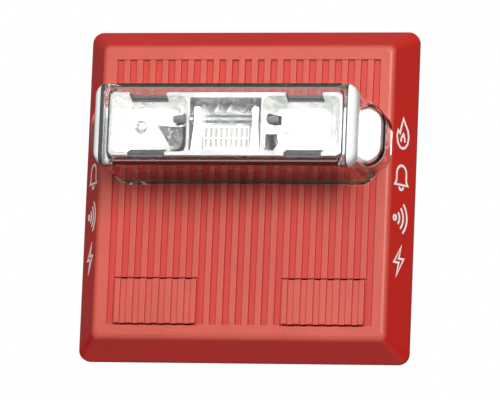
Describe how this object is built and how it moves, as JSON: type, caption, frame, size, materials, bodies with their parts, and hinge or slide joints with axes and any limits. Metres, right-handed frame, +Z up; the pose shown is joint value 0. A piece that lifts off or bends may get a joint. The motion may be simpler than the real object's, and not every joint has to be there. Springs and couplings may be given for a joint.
{
  "type": "horn strobe",
  "caption": "Square wall fire alarm sounder with a bevelled ribbed cover, a deep clear box lens with white ends over a flash tube and reflector, and a piezo horn behind sound slots.",
  "frame": {"origin": "centre of the mounting plate, on the rear face that lies on the wall", "axes": "+X right and +Z up when seen from the room, +Y into the wall; the front looks along -Y"},
  "size_m": [0.1334, 0.0622, 0.1334],
  "materials": {
    "red_plastic": "satin moulded",
    "plate_plastic": "fine textured",
    "clear_plastic": "polished clear",
    "white_plastic": "glossy moulded",
    "tube_glass": "polished clear",
    "mirror_coat": "vacuum metallised",
    "steel": "zinc plated",
    "brass": "bare",
    "board_green": "solder mask over fibreglass",
    "black_plastic": "moulded",
    "capacitor_sleeve": "shrunk sleeve",
    "copper_wire": "enamelled copper",
    "ferrite": "ground ferrite",
    "winding_tape": "tape wrapped",
    "ceramic": "silvered ceramic",
    "terminal_plastic": "moulded"
  },
  "bodies": {
    "base": {"mounting_plate": "plate_plastic", "circuit_board": "board_green", "reflector": "mirror_coat", "reflector_frame": "black_plastic", "tube_electrode_left": "steel", "tube_electrode_right": "steel", "tube_holder_left": "white_plastic", "tube_holder_right": "white_plastic", "horn_screw_left": "steel", "horn_screw_right": "steel", "flash_tube": "tube_glass", "tube_panel": "white_plastic", "trigger_wire": "copper_wire", "reflector_screw": "steel", "locating_pin": "white_plastic", "board_screw_1": "steel", "board_screw_2": "steel", "board_screw_3": "steel", "board_screw_4": "steel", "flash_capacitor": "capacitor_sleeve", "trigger_coil": "black_plastic", "transformer_core": "ferrite", "transformer_winding": "winding_tape", "control_chip": "black_plastic", "switch_transistor": "black_plastic", "blocking_diode_1": "black_plastic", "blocking_diode_2": "black_plastic", "horn_housing": "black_plastic", "piezo_ceramic": "ceramic", "piezo_disc": "brass", "horn_ring": "black_plastic", "horn_cap": "black_plastic", "candela_selector": "black_plastic", "tone_switch": "black_plastic", "volume_switch": "black_plastic", "terminal_block": "terminal_plastic"},
    "cover": {"front_cover": "red_plastic", "lens": "clear_plastic", "end_band_left": "white_plastic", "end_band_right": "white_plastic", "ear_insert_left": "white_plastic", "ear_insert_right": "white_plastic"},
    "candela_dial": {"candela_knob": "white_plastic"},
    "tone_slide": {"tone_slider": "white_plastic"},
    "volume_slide": {"volume_slider": "white_plastic"},
    "wire_screw_1": {"terminal_screw_1": "steel"},
    "wire_clamp_1": {"clamp_plate_1": "brass"},
    "wire_screw_2": {"terminal_screw_2": "steel"},
    "wire_clamp_2": {"clamp_plate_2": "brass"},
    "wire_screw_3": {"terminal_screw_3": "steel"},
    "wire_clamp_3": {"clamp_plate_3": "brass"},
    "wire_screw_4": {"terminal_screw_4": "steel"},
    "wire_clamp_4": {"clamp_plate_4": "brass"}
  },
  "joints": [
    {"name": "cover_lift", "type": "slide", "parent": "base", "child": "cover", "axis": [0, -1, 0], "range_m": [0, 0.06]},
    {"name": "candela_turn", "type": "hinge", "parent": "base", "child": "candela_dial", "pos_m": [0.04, -0.0098, -0.014], "axis": [0, -1, 0], "range_deg": [0, 135]},
    {"name": "tone_shift", "type": "slide", "parent": "base", "child": "tone_slide", "axis": [1, 0, 0], "range_m": [0, 0.0034]},
    {"name": "volume_shift", "type": "slide", "parent": "base", "child": "volume_slide", "axis": [1, 0, 0], "range_m": [0, 0.0034]},
    {"name": "screw_turn_1", "type": "hinge", "parent": "base", "child": "wire_screw_1", "pos_m": [-0.012, 0.005, -0.016], "axis": [0, -1, 0], "range_deg": [0, 1800]},
    {"name": "clamp_climb_1", "type": "slide", "parent": "base", "child": "wire_clamp_1", "axis": [0, 1, 0], "range_m": [0, 0.003]},
    {"name": "screw_turn_2", "type": "hinge", "parent": "base", "child": "wire_screw_2", "pos_m": [-0.004, 0.005, -0.016], "axis": [0, -1, 0], "range_deg": [0, 1800]},
    {"name": "clamp_climb_2", "type": "slide", "parent": "base", "child": "wire_clamp_2", "axis": [0, 1, 0], "range_m": [0, 0.003]},
    {"name": "screw_turn_3", "type": "hinge", "parent": "base", "child": "wire_screw_3", "pos_m": [0.004, 0.005, -0.016], "axis": [0, -1, 0], "range_deg": [0, 1800]},
    {"name": "clamp_climb_3", "type": "slide", "parent": "base", "child": "wire_clamp_3", "axis": [0, 1, 0], "range_m": [0, 0.003]},
    {"name": "screw_turn_4", "type": "hinge", "parent": "base", "child": "wire_screw_4", "pos_m": [0.012, 0.005, -0.016], "axis": [0, -1, 0], "range_deg": [0, 1800]},
    {"name": "clamp_climb_4", "type": "slide", "parent": "base", "child": "wire_clamp_4", "axis": [0, 1, 0], "range_m": [0, 0.003]}
  ],
  "couplings": [
    {"joint": "screw_turn_1", "follows": "clamp_climb_1", "rad_per_m": 10472},
    {"joint": "screw_turn_2", "follows": "clamp_climb_2", "rad_per_m": 10472},
    {"joint": "screw_turn_3", "follows": "clamp_climb_3", "rad_per_m": 10472},
    {"joint": "screw_turn_4", "follows": "clamp_climb_4", "rad_per_m": 10472}
  ]
}
